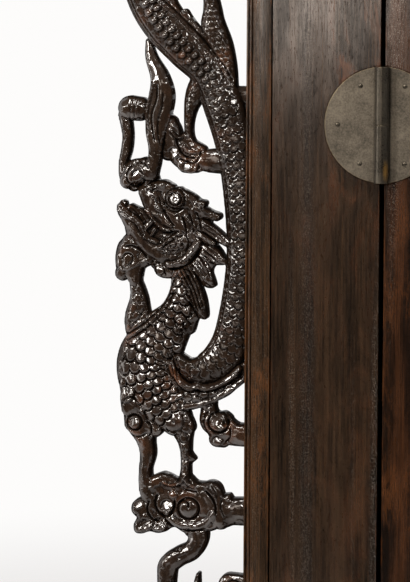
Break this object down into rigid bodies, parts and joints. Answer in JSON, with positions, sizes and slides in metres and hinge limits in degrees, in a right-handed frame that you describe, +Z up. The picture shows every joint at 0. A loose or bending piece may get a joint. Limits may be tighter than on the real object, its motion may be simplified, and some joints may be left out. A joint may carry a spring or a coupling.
{
  "type": "altar cabinet",
  "caption": "Long altar cabinet with upturned ends to its top, drawers above doors on round brass hinges, and pierced dragon spandrels hung beside the front legs.",
  "frame": {"origin": "on the floor, under the middle of the top", "axes": "+X to the right along the front, +Y from front to back, +Z up"},
  "size_m": [1.5, 0.48, 1.045],
  "materials": {
    "dark_wood": "dark stain, waxed to a satin gloss",
    "carved_wood": "carved, dark stain, polished",
    "plain_wood": "thin stain, planed",
    "brass": "tarnished"
  },
  "bodies": {
    "case": {"aprons": "dark_wood", "back_left_leg": "dark_wood", "back_panels": "plain_wood", "back_rails": "plain_wood", "back_right_leg": "dark_wood", "bottom_board": "plain_wood", "case_hinge_leaves": "brass", "case_hinge_nails": "brass", "drawer_divider": "dark_wood", "drawer_runners": "plain_wood", "front_bottom_rail": "dark_wood", "front_left_leg": "dark_wood", "front_middle_rail": "dark_wood", "front_right_leg": "dark_wood", "front_top_rail": "dark_wood", "hinge_pins": "brass", "left_dragon_spandrel": "carved_wood", "left_front_stile": "dark_wood", "left_side_panel": "dark_wood", "left_side_rails": "dark_wood", "right_dragon_spandrel": "carved_wood", "right_front_stile": "dark_wood", "right_side_panel": "dark_wood", "right_side_rails": "dark_wood", "shelf": "plain_wood", "shelf_battens": "plain_wood", "top_back_rail": "dark_wood", "top_battens": "plain_wood", "top_front_rail": "dark_wood", "top_left_flange": "dark_wood", "top_panel": "dark_wood", "top_right_flange": "dark_wood"},
    "left_door": {"left_door_stiles": "dark_wood", "left_door_rails": "dark_wood", "left_door_panel": "dark_wood", "left_door_battens": "plain_wood", "left_door_hinge_leaves": "brass", "left_door_nails": "brass", "left_lock_plate": "brass", "left_lock_fittings": "brass"},
    "left_drawer": {"left_drawer_front": "dark_wood", "left_drawer_walls": "plain_wood", "left_drawer_bottom": "plain_wood", "left_drawer_fittings": "brass"},
    "left_door_pendant": {"left_door_pull": "brass"},
    "left_drawer_pendant": {"left_drawer_pull": "brass"},
    "right_door": {"right_door_stiles": "dark_wood", "right_door_rails": "dark_wood", "right_door_panel": "dark_wood", "right_door_battens": "plain_wood", "right_door_hinge_leaves": "brass", "right_door_nails": "brass", "right_lock_plate": "brass", "right_lock_fittings": "brass"},
    "right_drawer": {"right_drawer_front": "dark_wood", "right_drawer_walls": "plain_wood", "right_drawer_bottom": "plain_wood", "right_drawer_fittings": "brass"},
    "right_door_pendant": {"right_door_pull": "brass"},
    "right_drawer_pendant": {"right_drawer_pull": "brass"}
  },
  "joints": [
    {"name": "left_door_swing", "type": "hinge", "parent": "case", "child": "left_door", "pos_m": [-0.4018, -0.2167, 0.4865], "axis": [0, 0, -1], "range_deg": [0, 160]},
    {"name": "left_drawer_slide", "type": "slide", "parent": "case", "child": "left_drawer", "axis": [0, -1, 0], "range_m": [0, 0.3]},
    {"name": "left_door_pull_swing", "type": "hinge", "parent": "left_door", "child": "left_door_pendant", "pos_m": [-0.027, -0.2179, 0.4805], "axis": [-1, 0, 0], "range_deg": [0, 90]},
    {"name": "left_drawer_pull_swing", "type": "hinge", "parent": "left_drawer", "child": "left_drawer_pendant", "pos_m": [-0.2095, -0.2179, 0.912], "axis": [-1, 0, 0], "range_deg": [0, 90]},
    {"name": "right_door_swing", "type": "hinge", "parent": "case", "child": "right_door", "pos_m": [0.4018, -0.2167, 0.4865], "axis": [0, 0, 1], "range_deg": [0, 160]},
    {"name": "right_drawer_slide", "type": "slide", "parent": "case", "child": "right_drawer", "axis": [0, -1, 0], "range_m": [0, 0.3]},
    {"name": "right_door_pull_swing", "type": "hinge", "parent": "right_door", "child": "right_door_pendant", "pos_m": [0.027, -0.2179, 0.4805], "axis": [-1, 0, 0], "range_deg": [0, 90]},
    {"name": "right_drawer_pull_swing", "type": "hinge", "parent": "right_drawer", "child": "right_drawer_pendant", "pos_m": [0.2095, -0.2179, 0.912], "axis": [-1, 0, 0], "range_deg": [0, 90]}
  ]
}
